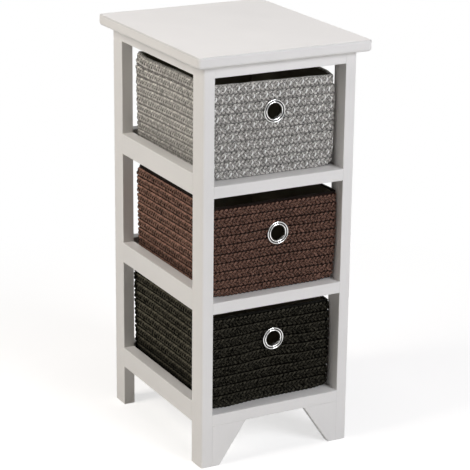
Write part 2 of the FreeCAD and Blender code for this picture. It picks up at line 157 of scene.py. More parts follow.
class Value:
    """A shader socket. Arithmetic on it adds Math nodes, and node() adds any other node."""

    def __init__(self, tree, socket=None):
        self.tree = tree
        self.socket = socket

    def node(self, kind, sockets=None, output=0, **settings):
        made = self.tree.nodes.new("ShaderNode" + kind)
        for key, value in settings.items():
            setattr(made, key, value)
        for key, value in (sockets or {}).items():
            if isinstance(value, Value):
                self.tree.links.new(value.socket, made.inputs[key])
            else:
                made.inputs[key].default_value = value
        return Value(self.tree, made.outputs[output] if made.outputs else None)

    def math(self, operation, *values):
        return self.node("Math", dict(enumerate((self, *values))), operation=operation)

    def __add__(self, other):
        return self.math("ADD", other)

    __radd__ = __add__

    def __mul__(self, other):
        return self.math("MULTIPLY", other)

    __rmul__ = __mul__

    def __sub__(self, other):
        return self.math("SUBTRACT", other)

    def __rsub__(self, other):
        return self * -1 + other

    def __pow__(self, other):
        return self.math("POWER", other)

    def clamp(self, low=0.0, high=1.0):
        return self.node("Clamp", {"Value": self, "Min": low, "Max": high})

    def ramp(self, low, high, start=0.0, end=1.0):
        """Runs evenly from start to end while this value runs from low to high, and stays there beyond."""
        sockets = {"Value": self, "From Min": low, "From Max": high, "To Min": start, "To Max": end}
        return self.node("MapRange", sockets)

    def wave(self):
        """A sine of this value, from 0 to 1."""
        return self.math("SINE") * 0.5 + 0.5

    def blend(self, first, second):
        """A colour between two, by this value."""
        factor, colours, result = 0, (6, 7), 2  # places of a Mix node's sockets for colours
        sockets = {factor: self}
        for socket, colour in zip(colours, (first, second)):
            sockets[socket] = colour if isinstance(colour, Value) else (*colour, 1)
        return self.node("Mix", sockets, result, data_type="RGBA", clamp_factor=False)

    def place(self, kind="Object"):
        return self.node("TexCoord", output=kind)

    def attribute(self, name, output):
        return self.node("Attribute", output=output, attribute_name=name)

    def scaled(self, factors, shift=(0, 0, 0)):
        return self.node("Mapping", {"Vector": self, "Scale": factors, "Location": shift})

    def noise(self, scale, detail=3.0, roughness=0.5):
        sockets = {"Vector": self, "Scale": scale, "Detail": detail, "Roughness": roughness}
        return self.node("TexNoise", sockets)

    def axes(self):
        """The three parts of a vector."""
        return [self.node("SeparateXYZ", {0: self}, part) for part in range(3)]

    def join(self, *parts):
        return self.node("CombineXYZ", dict(enumerate(parts)))

    def bump(self, height, strength, distance):
        sockets = {"Strength": strength, "Distance": distance, "Height": height}
        return self.node("Bump", sockets, "Normal")

    def sight(self):
        """1 for rays from the camera, and for those that a mirror or glass sends on."""
        seen = self.node("LightPath", output="Is Camera Ray")
        for ray in ("Is Glossy Ray", "Is Transmission Ray"):
            seen = seen.math("MAXIMUM", self.node("LightPath", output=ray))
        return seen


def linear(red, green, blue):
    """A colour as a screen shows it, 0 to 255, in the renderer's linear light."""
    return tuple(c / 12.92 if c <= 0.04045 else ((c + 0.055) / 1.055) ** 2.4 for c in
                 (red / 255, green / 255, blue / 255))


def new_finish(name):
    material = bpy.data.materials.new(name)
    material.use_nodes = True
    material.node_tree.nodes.clear()
    return material, Value(material.node_tree)


def seal(material, pen, **sockets):
    """Ends a finish in one principled surface."""
    surface = pen.node("BsdfPrincipled", {key.replace("_", " "): value for key, value in sockets.items()})
    pen.node("OutputMaterial", {"Surface": surface})
    return material


def white_paint(name, grain):
    """Satin paint over wood; the grain shows faintly along one axis, and eased upper edges carry painted
    shade that hides their highlight.
    """
    material, pen = new_finish(name)
    place = pen.place()
    ray_scale = tuple(9 if axis == grain else 320 for axis in "xyz")
    brush_scale = tuple(30 if axis == grain else 1500 for axis in "xyz")
    rays = place.scaled(ray_scale).noise(1.0, 5, 0.6)
    brush = place.scaled(brush_scale).noise(1.0, 2)
    cloud = place.noise(11.0, 3)
    peel = place.noise(900.0, 2)
    shade = (cloud * 0.7 + rays * 0.3).clamp()
    # Painted shade on the eased upper edges, where light would otherwise leave a bright line.
    upward = pen.place("Normal").axes()[2]
    edge_shade_mask = upward.ramp(0.1, 0.3) * upward.ramp(0.98, 0.85)
    edge_shade_depth = 1.8
    colour = (shade - edge_shade_mask * edge_shade_depth).blend(linear(229, 228, 227), linear(243, 242, 241))
    height = rays * 0.5 + brush * 0.25 + peel * 0.25
    return seal(material, pen, Base_Color=colour, Roughness=0.30 + rays * 0.16 + cloud * 0.06,
                Normal=pen.bump(height, strength=0.22, distance=0.0004))


def bare_wood(name):
    material, pen = new_finish(name)
    rings = pen.node("TexWave", {"Scale": 240, "Distortion": 6, "Detail": 3})
    rings = rings * 0.6 + pen.place().noise(500.0, 4) * 0.4
    colour = rings.blend(linear(166, 124, 78), linear(214, 178, 128))
    return seal(material, pen, Base_Color=colour, Roughness=0.55 + rings * 0.2,
                Normal=pen.bump(rings, strength=0.3, distance=0.0003))


def zinc(name):
    material, pen = new_finish(name)
    grain = pen.place().noise(1400.0, 4)
    spangle = pen.node("TexVoronoi", {"Scale": 700}, "Distance")
    tone = (spangle * 0.7 + grain * 0.3).clamp()
    colour = tone.blend(linear(160, 162, 164), linear(206, 207, 206))
    return seal(material, pen, Base_Color=colour, Metallic=1.0, Roughness=0.28 + grain * 0.2,
                Normal=pen.bump(grain, strength=0.2, distance=0.0002))


def polished_chrome(name, axis, groove):
    """Bright plating with faint turning lines round an eyelet's axis, with painted shade in its groove."""
    material, pen = new_finish(name)
    x, z = pen.place().scaled((1, 1, 1), (-axis[0], 0, -axis[1])).axes()[::2]
    radius = (x * x + z * z) ** 0.5
    line_pace = 9000  # radians per metre
    lines = (radius * line_pace).math("SINE")
    smudge = pen.place().noise(180.0, 3)
    bright = smudge.blend(linear(226, 226, 224), linear(246, 246, 245))
    middle, width = sum(groove) / 2, groove[1] - groove[0]
    # Painted shade in the groove between the beads: a dark colour, little metal and a rough surface.
    groove_shade_solid, groove_shade_ends = width * 0.55, width * 0.7
    groove_shade = (radius - middle).math("ABSOLUTE").ramp(groove_shade_solid, groove_shade_ends, 1.0, 0.0)
    colour = groove_shade.blend(bright, linear(34, 32, 30))
    return seal(material, pen, Base_Color=colour, Metallic=1 - groove_shade * 0.9,
                Roughness=0.05 + smudge * 0.10 + groove_shade * 0.6,
                Normal=pen.bump(lines * 0.5 + smudge * 0.5, strength=0.06, distance=0.0001))


def grey_card(name):
    material, pen = new_finish(name)
    fibre = pen.place().scaled((400, 1600, 400)).noise(1.0, 5, 0.65)
    colour = fibre.blend(linear(128, 112, 94), linear(176, 160, 140))
    return seal(material, pen, Base_Color=colour, Roughness=0.8 + fibre * 0.15,
                Normal=pen.bump(fibre, strength=0.4, distance=0.0002))


def lining_cloth(name):
    """Black pressed cloth with a pinpoint grid, and a faint emission, painted light that shows in the dark
    of its bay.
    """
    material, pen = new_finish(name)
    place = pen.place()
    x, y, z = place.axes()
    pin_pace = 4200  # radians per metre
    grid = ((x + y) * pin_pace).math("SINE") * ((z + (x - y) * 0.5) * pin_pace).math("SINE")
    fuzz = place.noise(1500.0, 4, 0.7)
    cloud = place.noise(35.0, 2)
    tone = (fuzz * 0.6 + cloud * 0.4).clamp()
    colour = tone.blend(linear(66, 63, 51), linear(110, 105, 89))
    # The faint emission is painted light: the cloth glows a little, though it is no lamp.
    return seal(material, pen, Base_Color=colour, Roughness=0.82 + fuzz * 0.12,
                Emission_Color=(*linear(255, 232, 190), 1), Emission_Strength=0.002,
                Normal=pen.bump(grid * 0.3 + fuzz * 0.7, strength=0.35, distance=0.0004))


def rim_tape(name, dark, light):
    """Ribbed tape; the ribs lie across its length."""
    material, pen = new_finish(name)
    along, across = pen.attribute("lay", "Vector").axes()[:2]
    rib_pace = 7.5  # radians per millimetre
    edge_lines = 9.0
    rib = (along * rib_pace).wave()
    edge = (across * edge_lines).wave()
    fuzz = pen.place().noise(1300.0, 4, 0.7)
    speck = pen.place().noise(470.0, 1)
    tone = ((speck - 0.5) * 2.2 + rib * 0.2 + edge * 0.1 + fuzz * 0.3 + 0.2).clamp()
    return seal(material, pen, Base_Color=tone.blend(dark, light), Roughness=0.7 + fuzz * 0.2,
                Specular_IOR_Level=0.1,
                Normal=pen.bump(rib * 0.7 + fuzz * 0.3, strength=0.5, distance=0.0004))


def braid_cord(name, dark, light, contrast=2.6, side_shade=0.9, top_highlight=0.0, skew=1.0, shine=0.3, sheen=0.0,
               side_light=0.0, row_top_light=0.0, fill=0.0, bite=0.0, fleck=1.4, floor_shade=0.0, floor=None):
    """One cord of a braid: flecked fibres, with painted shade that darkens its sides against its crown.

    contrast: strength of the flecks
    side_shade: strength of the painted shade on its sides
    top_highlight: strength of the painted highlight at the top of its row
    skew: above 1, fewer light flecks
    shine, sheen: gloss and fuzz
    fill: on front and back walls, painted light that makes a row paler at its edges and painted shade in its
    middle
    side_light: on side walls, painted light that makes it paler all over; below 0, painted shade
    row_top_light: on side walls, painted light towards the top of a row and painted shade towards its foot
    bite: on side walls, added to skew
    fleck: on side walls, strength of the flecks, which are coarser there
    floor_shade: on side walls, painted shade near the basket's floor
    floor: height of the basket's floor in metres
    """
    material, pen = new_finish(name)
    along, side, crown = pen.attribute("lay", "Vector").axes()
    rise = pen.attribute("rise", "Fac")
    fibre_along, fibre_round, slow_along = 0.30, 2.6, 0.035
    fibre = pen.join(along * fibre_along, side * fibre_round, crown * fibre_round).noise(2.4, 4, 0.65)
    twist_per_mm, strands = 3.4, 2
    lay = (along * twist_per_mm + crown.math("ARCTAN2", side) * strands).wave()
    slow = pen.join(along * slow_along, 0.0, 0.0).noise(3.0, 2)
    facing_x, facing_y = [part.math("ABSOLUTE") for part in pen.place("Normal").axes()[:2]]
    sideways = (facing_x - facing_y).ramp(-0.2, 0.2)
    fine = pen.place().scaled((600, 600, 600)).noise(1.0, 1)
    coarse = pen.place().scaled((330, 260, 170)).noise(1.0, 1)
    speck = fine + ((coarse - 0.5) * fleck + 0.5 - fine) * sideways
    # Painted shade: each cord is darker at its sides than on its crown, and more so on side walls.
    crown_flat, crown_middle, side_middle, side_shade_boost = 0.8, 0.55, 0.13, 5.2
    edge = crown.clamp(0.0, crown_flat) - crown_middle - sideways * side_middle
    edge = edge * side_shade * (1 + sideways * side_shade_boost)
    # Painted highlight along the top of each row, on the upper side of the cord.
    top = rise.ramp(0.75, 1.0) * top_highlight * side.ramp(0.1, -0.6)
    fibre_part, slow_part, lay_part, middle_tone = 1.2, 0.6, 0.12, 0.38
    flecks = (speck - 0.5) * contrast + (fibre - 0.5) * fibre_part + (slow - 0.5) * slow_part
    tone = flecks + lay * lay_part + edge + top + middle_tone
    # Painted light and shade: side walls are paler all over, and paler at the top of a row than at its foot;
    # front and back walls are paler at a row's edges than in its middle.
    rise_part, side_part, edge_level = 0.65, 0.35, 0.25
    place = rise * rise_part - side * side_part
    shade = sideways * (place * place * place * row_top_light + side_light)
    shade = shade + (1 - sideways) * (place * place - edge_level) * fill
    # Painted shade on side walls near the basket's floor.
    if floor is not None:
        floor_shade_low, floor_shade_high = 12 * MM, 44 * MM
        height = pen.place().axes()[2]
        shade = shade - sideways * height.ramp(floor + floor_shade_low, floor + floor_shade_high, floor_shade, 0.0)
    most = 4.0
    tone = tone.clamp() ** (sideways * bite + skew) * (1 + shade).clamp(0.0, most)
    return seal(material, pen, Base_Color=tone.blend(dark, light), Roughness=0.58 + fibre * 0.25,
                Specular_IOR_Level=shine, Sheen_Weight=sheen, Sheen_Roughness=0.35,
                Normal=pen.bump(fibre * 0.6 + lay * 0.4, strength=0.6, distance=0.0006))


def stage_floor(name):
    """Floor that looks white and keeps a faint shadow of the cabinet; it throws little light back."""
    material, pen = new_finish(name)
    x, y = pen.place().axes()[:2]
    shadow_ends = (0.35, 0.9)
    far = ((x * x + y * y) ** 0.5).ramp(*shadow_ends)
    shadow = pen.node("BsdfDiffuse", {"Color": (0.6, 0.6, 0.6, 1)})
    glow = pen.node("Emission", {"Color": (1, 1, 1, 1), "Strength": 0.64})
    near = pen.node("AddShader", {0: shadow, 1: glow})
    white = pen.node("Emission", {"Color": (1, 1, 1, 1), "Strength": 1.0})
    seen = pen.node("MixShader", {0: far, 1: near, 2: white})
    bounce = pen.node("BsdfDiffuse", {"Color": (0.55, 0.54, 0.52, 1)})
    surface = pen.node("MixShader", {0: pen.sight(), 1: bounce, 2: seen})
    pen.node("OutputMaterial", {"Surface": surface})
    return material


def mesh_piece(name, points, faces, material, body, lay=None, rise=None):
    """A piece from points in millimetres; it rides on a body. Its finish reads lay and rise."""
    mesh = bpy.data.meshes.new(name)
    points = np.asarray(points, float).reshape(-1, 3) * MM
    if isinstance(faces, list):
        sizes = np.array([len(face) for face in faces])
        corners = np.concatenate(faces)
    else:
        sizes = np.full(len(faces), faces.shape[1])
        corners = faces.ravel()
    starts = np.concatenate([[0], np.cumsum(sizes)[:-1]])
    mesh.vertices.add(len(points))
    mesh.vertices.foreach_set("co", points.ravel())
    mesh.loops.add(len(corners))
    mesh.loops.foreach_set("vertex_index", corners.astype(np.int32))
    mesh.polygons.add(len(sizes))
    mesh.polygons.foreach_set("loop_start", starts.astype(np.int32))
    mesh.polygons.foreach_set("use_smooth", np.full(len(sizes), True))
    mesh.update(calc_edges=True)
    mesh.validate()
    if lay is not None:
        values = mesh.attributes.new("lay", "FLOAT_VECTOR", "POINT").data
        values.foreach_set("vector", np.asarray(lay, float).ravel())
    if rise is not None:
        values = mesh.attributes.new("rise", "FLOAT", "POINT").data
        values.foreach_set("value", np.asarray(rise, float))
    mesh.materials.append(material)
    piece = bpy.data.objects.new(name, mesh)
    bpy.context.scene.collection.objects.link(piece)
    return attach(piece, body)


def unit(vectors):
    least = 1e-12
    return vectors / np.maximum(np.linalg.norm(vectors, axis=-1, keepdims=True), least)


def smooth_step(low, high, values):
    share = np.clip((values - low) / (high - low), 0, 1)
    return share * share * (3 - 2 * share)


def ripple(share, size, waves, start):
    """Waves round the basket, at shares of its girth."""
    return size * np.sin(FULL_TURN * waves * share + start)


class Basket:
    """Where one basket stands and how its soft walls differ from the plain shape, in millimetres.

    seed: start of the basket's random draws
    corner: radius of the upright corners
    bows: how far the left, right, front and back walls give inwards at the rim
    rows: height of a row of plait, and how far the top row stands over the shell's edge
    seam: how deep the seams between the rows lie
    sag: how far the left rim hangs
    flare: how far the left and right walls stand out at the floor
    push: how far the right wall leans towards the posts
    toe, belly, twist: how far the front stands out below the rim, at mid height and at the floor's left end
    rim: how far the front rim is lifted at its left and right ends
    dent, tuck: how far the front right and the back left corner are drawn in at the rim
    peak: how far the back left corner stands up
    """

    def __init__(self, level, seed, corner, bows, rows, seam=3.0, sag=0.0, flare=(0.0, 0.0), push=0.0,
                 toe=0.0, belly=0.0, twist=0.0, rim=(0.0, 0.0), dent=0.0, tuck=0.0, peak=0.0):
        low, high = [np.array(end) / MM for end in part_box(level + "_basket_binding")]
        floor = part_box(level + "_basket_weave")[0][2] / MM
        eye_low, eye_high = [np.array(end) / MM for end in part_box(level + "_basket_eyelet")]
        self.level = level
        self.body = level + "_basket"
        self.centre = (low + high) / 2
        self.floor = floor
        self.half = (high - low)[:2] / 2
        self.height = high[2] - floor
        self.shell = low[2] - floor
        self.eyelet = (eye_low + eye_high) / 2 - np.array([self.centre[0], self.centre[1], floor])
        self.corner, self.seam, self.rows = corner, seam, rows
        self.bows, self.sag, self.flare, self.push = bows, sag, flare, push
        self.toe, self.belly, self.twist, self.rim = toe, belly, twist, rim
        self.dent, self.tuck, self.peak = dent, tuck, peak
        self.chance = np.random.default_rng(seed)

    def any_angle(self):
        return self.chance.uniform(0, FULL_TURN)

    def halves(self, height):
        """Half width and half depth over the weave at a height."""
        lean = DRAFT * (np.asarray(height) / self.height - 1)
        return self.half[0] + lean, self.half[1] + lean

    def girth(self, height, inset):
        half_x, half_y = self.halves(height)
        return 4 * (half_x + half_y - 2 * self.corner) + FULL_TURN * (self.corner - inset)

    def wall(self, share, height, inset):
        """Points on the wall at a share of its girth, a height and an inset, with their outward normals."""
        share, height, inset = np.broadcast_arrays(np.asarray(share, float) % 1, height, inset)
        half_x, half_y = self.halves(self.shell / 2)
        a, b = half_x - self.corner, half_y - self.corner
        arc = math.pi / 2 * max(self.corner - WALL / 2, LEAST_ARC_RADIUS_MM)
        # Round from the front left: front, right, back and left wall, each with the corner after it.
        runs = np.cumsum([0, 2 * a, arc, 2 * b, arc, 2 * a, arc, 2 * b, arc])
        runs = runs / runs[-1]
        sign_x = np.interp(share, runs, [-1, 1, 1, 1, 1, -1, -1, -1, -1])
        sign_y = np.interp(share, runs, [-1, -1, -1, 1, 1, 1, 1, -1, -1])
        angle = np.interp(share, runs, np.radians([-90, -90, 0, 0, 90, 90, 180, 180, 270]))
        half_x, half_y = self.halves(height)
        under = np.clip(1 - height / HEEL, 0, 1)
        at_corner = smooth_step(*CORNER_ZONE, abs(sign_x)) * smooth_step(*CORNER_ZONE, abs(sign_y))
        heel = HEEL * (1 - np.sqrt(1 - under ** 2))
        inset = inset + heel * (HEEL_AT_WALL + HEEL_AT_CORNER * at_corner)
        radius = np.maximum(self.corner - inset, LEAST_RADIUS_MM)
        normal = np.stack([np.cos(angle), np.sin(angle), np.zeros_like(angle)], -1)
        centre_x = sign_x * (half_x - inset - radius)
        centre_y = sign_y * (half_y - inset - radius)
        points = np.stack([centre_x, centre_y, height], -1)
        return self.eased(points + normal * radius[..., None], normal), normal

    def eased(self, points, normal):
        """Soft walls: they give between their corners, hang at the rim and stand out at the floor."""
        x, y, z = np.moveaxis(points, -1, 0)
        rise = np.clip(z / self.height, 0, 1)
        low = 1 - rise
        across, along = x / self.half[0], y / self.half[1]
        left, right, front, back = (np.clip(part, 0, 1) ** 2 for part in
                                    (-normal[..., 0], normal[..., 0], -normal[..., 1], normal[..., 1]))
        mid_x, mid_y = np.clip(1 - across ** 2, 0, 1), np.clip(1 - along ** 2, 0, 1)
        bows = self.bows
        give = (bows[0] * left + bows[1] * right) * mid_y + (bows[2] * front + bows[3] * back) * mid_x
        moved = points - normal * (give * rise ** GIVE_POWER)[..., None]
        rightward, leftward = smooth_step(*END_ZONE, across), smooth_step(*TWIST_ZONE, -across)
        moved[..., 0] += (self.push + self.flare[1] * low) * rightward - self.flare[0] * low * left
        loose = smooth_step(*EYELET_HOLD_MM, np.hypot(x - self.eyelet[0], z - self.eyelet[2]))
        forward = (self.toe * (1 - rise ** 3) + self.belly * np.sin(math.pi * rise)) * loose
        moved[..., 1] -= smooth_step(*END_ZONE, -along) * (forward + self.twist * leftward * low ** 2)
        slack = (left + back * smooth_step(*SLACK_BACK, -across)) * smooth_step(*SLACK_FRONT, along)
        slack = slack * (SLACK_MIDDLE + SLACK_SLOPE * along)
        hang = self.sag * slack * smooth_step(*HANG_ZONE, rise)
        hang = hang * (1 - RIM_HOLD * smooth_step(*RIM_ZONE, rise))
        lift = front * rise ** 2 * np.interp(across, [-1, 1], self.rim)
        for side, depth, start, fall in ((1, self.dent, DENT_START, DENT_FALL * self.dent),
                                         (-1, self.tuck, TUCK_START, -self.peak)):
            corner_gap = np.hypot(x - side * self.half[0], y + side * self.half[1])
            near = np.exp(-(corner_gap / DENT_REACH_MM) ** 2)
            dent = depth * near * smooth_step(start, 1.0, rise)
            moved[..., 0] -= side * dent * math.sqrt(0.5)
            moved[..., 1] += side * dent * math.sqrt(0.5)
            moved[..., 2] -= fall * near * smooth_step(DENT_START, 1.0, rise)
        moved[..., 2] += lift - hang
        return moved

    def to_cabinet(self, points):
        return points + np.array([self.centre[0], self.centre[1], self.floor])

    def off_eyelet(self, points, normal):
        """Distance from the eyelet's axis on the front wall, and far away elsewhere."""
        gap = np.hypot(points[..., 0] - self.eyelet[0], points[..., 2] - self.eyelet[2])
        return np.where(normal[..., 1] < FRONT_FACING, gap, FAR_MM)


def cord_tube(path, facing, width, thickness, closed):
    """A flattened cord along a path, turned to face outwards, with its lay for the finish."""
    if closed:
        heading = np.roll(path, -1, 0) - np.roll(path, 1, 0)
    else:
        heading = np.gradient(path, axis=0)
    heading = unit(heading)
    across = unit(np.cross(heading, facing))
    up = np.cross(across, heading)
    count = len(path)
    turn = np.arange(CORD_SIDES) / CORD_SIDES * FULL_TURN
    wide = np.broadcast_to(width, count)[:, None, None] / 2
    ring = np.cos(turn)[:, None] * across[:, None] * wide
    ring = ring + np.sin(turn)[:, None] * up[:, None] * thickness / 2
    points = (path[:, None] + ring).reshape(-1, 3)
    step = np.linalg.norm(np.diff(path, axis=0), axis=1)
    along = np.concatenate([[0], np.cumsum(step)])
    lay = np.stack([np.repeat(along, CORD_SIDES), np.tile(np.cos(turn), count),
                    np.tile(np.sin(turn), count)], -1)
    first = np.arange(count if closed else count - 1)[:, None]
    after = (first + 1) % count
    side = np.arange(CORD_SIDES)
    beside = (side + 1) % CORD_SIDES
    faces = np.stack([first * CORD_SIDES + side, first * CORD_SIDES + beside,
                      after * CORD_SIDES + beside, after * CORD_SIDES + side], -1).reshape(-1, 4)
    ends = [] if closed else [side[::-1], (count - 1) * CORD_SIDES + side]
    return points, faces, lay, ends


class Strands:
    """Cords gathered into one piece."""

    def __init__(self):
        self.points, self.faces, self.lay, self.rise, self.ends = [], [], [], [], []
        self.count = 0

    def add(self, path, facing, closed, width=CORD_WIDTH, thickness=CORD_THICKNESS, rise=0.0):
        points, faces, lay, ends = cord_tube(path, facing, width, thickness, closed)
        self.points.append(points)
        self.lay.append(lay)
        self.rise.append(np.repeat(np.broadcast_to(rise, len(path)), CORD_SIDES))
        self.faces.append(faces + self.count)
        for end in ends:
            for k in range(1, CORD_SIDES // 2):
                quad = [end[k - 1], end[k], end[CORD_SIDES - 1 - k], end[CORD_SIDES - k]]
                self.ends.append(np.array(quad) + self.count)
        self.count += len(points)

    def piece(self, name, material, body):
        faces = np.concatenate(self.faces + ([np.array(self.ends)] if self.ends else []))
        return mesh_piece(name, np.concatenate(self.points), faces, material, body,
                          np.concatenate(self.lay), np.concatenate(self.rise))


def braid_offsets(phase):
    """Across and depth of a cord of a flat three-cord plait."""
    return np.sin(phase), np.sin(2 * phase)


def add_runs(strand, basket, points, normal, width, thickness, rise=0.0):
    """A cord round the basket, whole, or in runs where the eyelet interrupts it."""
    keep = basket.off_eyelet(points, normal) > EYELET_CLEAR
    points = basket.to_cabinet(points)
    width, rise = np.broadcast_to(width, len(points)), np.broadcast_to(rise, len(points))
    if keep.all():
        strand.add(points, normal, True, width, thickness, rise)
        return
    first = int(np.argmin(keep))
    keep, points, normal, width, rise = (np.roll(item, -first, 0) for item in
                                         (keep, points, normal, width, rise))
    edges = np.flatnonzero(np.diff(keep.astype(int)))
    bounds = np.concatenate([edges + 1, [len(keep)]])
    shortest = 3
    for low, high in zip(bounds[::2], bounds[1::2]):
        if high - low > shortest:
            run = slice(low, high)
            strand.add(points[run], normal[run], False, width[run], thickness, rise[run])


def thread_run(basket, row, share, turns, repeats, middle, sway):
    """Swings, insets and widths of the pale thread in one row: short strokes, plainest in the top row."""
    faint = min(row, THREAD_FADE_ROWS) / THREAD_FADE_ROWS
    across = np.tanh(THREAD_SQUARENESS * np.sin(turns + THREAD_LEAD)) / math.tanh(THREAD_SQUARENESS)
    falling = smooth_step(*THREAD_TURNING, np.cos(turns + THREAD_LEAD))
    slow = THREAD_LOOSE[0] * np.sin(repeats * THREAD_LOOSE_PACE * FULL_TURN * share + sway[0])
    quick = THREAD_LOOSE[1] * np.sin(11 * turns / 7 + sway[1])
    inset = THREAD_INSET + THREAD_DIVE * across ** 4
    inset = inset + THREAD_FALL_DEPTH * falling + THREAD_FAINT_DEPTH * faint
    inset = inset + (slow + quick) * (THREAD_PLAIN_LOOSENESS + THREAD_FAINT_LOOSENESS * faint)
    sideways = abs(basket.wall(share, middle, WALL)[1][:, 0])
    inset = np.minimum(inset + THREAD_SIDE_DEPTH * sideways, THREAD_DEEPEST)
    width = THREAD_WIDTH * (1 - THREAD_FALL_THINNING * falling) * (1 - THREAD_FAINT_THINNING * faint)
    return across * THREAD_SWING, inset, width


def braid_walls(basket, strands, seams, thread=None):
    """Rows of plait laid round the basket, each closed on itself, and sewn together along their edges.
    A thread, where there is one, shows as short strokes where it crosses a row."""
    row_height, lift = basket.rows
    edges = np.append(np.arange(basket.shell + lift, LAST_ROW_SHARE * row_height, -row_height), 0)
    for row, (upper, lower) in enumerate(zip(edges[:-1], edges[1:])):
        middle = (upper + lower) / 2
        repeats = round(basket.girth(middle, WALL / 2) / BRAID_PITCH)
        steps = repeats * STEPS_PER_PITCH
        share = np.arange(steps) / steps
        start = basket.any_angle()
        sway = [basket.any_angle() for wave in ROW_WAVES]
        slow, quick, wider, pull = (ripple(share, *wave, angle) for wave, angle in zip(ROW_WAVES, sway))
        wander = slow + quick
        swing = CORD_SWING * (upper - lower) / CORD_ROW * (1 + wider)
        turns = FULL_TURN * repeats * share + start + pull
        for cord, strand in enumerate(strands):
            across, depth = braid_offsets(turns + cord * FULL_TURN / CORDS_IN_BRAID)
            height = np.maximum(middle + wander + swing * across, CORD_WIDTH / 2 + CORD_CLEAR)
            inset = BRAID_INSET - CORD_DEPTH * depth - BRAID_EDGE * across ** 2
            points, normal = basket.wall(share, height, inset)
            add_runs(strand, basket, points, normal, CORD_WIDTH, CORD_THICKNESS, across)
        if thread:
            across, inset, width = thread_run(basket, row, share, turns, repeats, middle, sway)
            height = np.maximum(middle + wander + across, THREAD_LOWEST)
            points, normal = basket.wall(share, height, inset)
            add_runs(thread, basket, points, normal, width, THREAD_THICKNESS)
    share = np.arange(RING_STEPS) / RING_STEPS
    for edge in edges:
        height = np.clip(edge, SEAM_WIDTH / 2 + SEAM_CLEAR, basket.shell - SEAM_WIDTH / 2)
        points, normal = basket.wall(share, height, basket.seam)
        add_runs(seams, basket, points, normal, SEAM_WIDTH, SEAM_WIDTH)


def braid_floor(basket, strands):
    """Straight rows of plait under the basket."""
    half_x, half_y = basket.halves(0)
    reach_x, reach_y = half_x - WALL - FLOOR_GAP, half_y - WALL - FLOOR_GAP
    radius = max(basket.corner - WALL, FLOOR_LEAST_RADIUS)
    rows = round(2 * reach_x / basket.rows[0])
    width = 2 * reach_x / rows
    for row in range(rows):
        x = -reach_x + (row + 0.5) * width
        past = max(abs(x) + width / 2 - (reach_x - radius), 0)
        end = reach_y - radius + math.sqrt(max(radius ** 2 - past ** 2, 0))
        steps = int(2 * end / BRAID_PITCH * FLOOR_STEPS_PER_PITCH)
        y = np.linspace(-end, end, steps)
        start = basket.any_angle()
        for cord, strand in enumerate(strands):
            phase = FULL_TURN * y / BRAID_PITCH + start + cord * FULL_TURN / CORDS_IN_BRAID
            across, depth = braid_offsets(phase)
            height = WALL / 2 + CORD_CLEAR - CORD_DEPTH * depth
            points = np.stack([x + FLOOR_SWING_SHARE * CORD_SWING * across, y, height], -1)
            down = np.tile([0.0, 0.0, -1.0], (steps, 1))
            strand.add(basket.to_cabinet(points), down, False)


def grid_faces(rows, columns, closed=False):
    """Quads between rows of points, each a ring; closed also joins the last row to the first."""
    row = np.arange(rows - 1)[:, None]
    column = np.arange(columns)
    beside = (column + 1) % columns
    faces = np.stack([row * columns + column, row * columns + beside, (row + 1) * columns + beside,
                      (row + 1) * columns + column], -1).reshape(-1, 4)
    if not closed:
        return faces
    last = (rows - 1) * columns
    closing = np.stack([last + column, last + beside, beside, column], -1)
    return np.concatenate([faces, closing])


def lining_bag(basket, material):
    """Cloth bag inside the weave: walls, a turned lower edge and a floor, with slack folds round it."""
    columns, wall_rows, bend_rows, floor_rows = 440, 62, 5, 26
    bottom = WALL + LINING_LIFT
    inset = WALL + LINING_GAP
    share = np.arange(columns) / columns
    rise = np.linspace(basket.shell + LINING_OVER, bottom + LINING_TURN, wall_rows)
    bend = np.linspace(0, math.pi / 2, bend_rows + 1)[1:]
    heights = np.concatenate([rise, bottom + LINING_TURN * (1 - np.sin(bend)), np.full(floor_rows, bottom)])
    insets = np.concatenate([np.full(wall_rows, inset), inset + LINING_TURN * (1 - np.cos(bend)),
                             np.full(floor_rows, inset + LINING_TURN)])
    points, normal = basket.wall(share[None, :], heights[:, None], insets[:, None])
    folds = np.zeros(points.shape[:2])
    for waves, size in LINING_FOLDS:
        lean = basket.chance.uniform(-FOLD_LEAN, FOLD_LEAN)
        start = basket.any_angle()
        phase = FULL_TURN * waves * share[None, :] + lean * heights[:, None] / FOLD_LEAN_RISE + start
        folds += size * (1 + np.sin(phase)) / 2
    fade = smooth_step(0, FOLD_FADE_RIM, basket.shell - heights)
    fade = fade * smooth_step(bottom, bottom + FOLD_FADE_FLOOR, heights)
    clear = smooth_step(*FOLD_HOLD, basket.off_eyelet(points, normal))
    points = points - normal * (folds * fade[:, None] * clear)[..., None]
    inmost_ring = 0.012
    inwards = np.linspace(1, inmost_ring, floor_rows + 1)[1:]
    shrink = np.concatenate([np.ones(len(heights) - floor_rows), inwards])
    points[..., :2] *= shrink[:, None, None]
    puff, puff_lift, length_x, length_y = 0.25, 0.3, 11.0, 13.0
    puffs = puff * np.sin(points[..., 0] / length_x + 1) * np.sin(points[..., 1] / length_y + 2)
    points[..., 2] += np.where(shrink[:, None] < 1, puff_lift + puffs, 0)
    faces = grid_faces(len(heights), columns)
    away = basket.off_eyelet(points, normal).ravel()
    faces = faces[(away[faces] > EYELET_CLEAR - LINING_UNDER_RING).all(1)]
    last = (len(heights) - 1) * columns + np.arange(columns)
    used = np.unique(np.concatenate([faces.ravel(), last]))
    index = np.full(points.shape[0] * points.shape[1], -1)
    index[used] = np.arange(len(used))
    whole = [index[face] for face in faces] + [index[last]]
    bag = mesh_piece(basket.level + "_lining_cloth", basket.to_cabinet(points.reshape(-1, 3)[used]), whole,
                     material, basket.body)
    thick = bag.modifiers.new("cloth", "SOLIDIFY")
    thick.thickness = LINING_THICKNESS * MM
    thick.offset = 0
    return bag


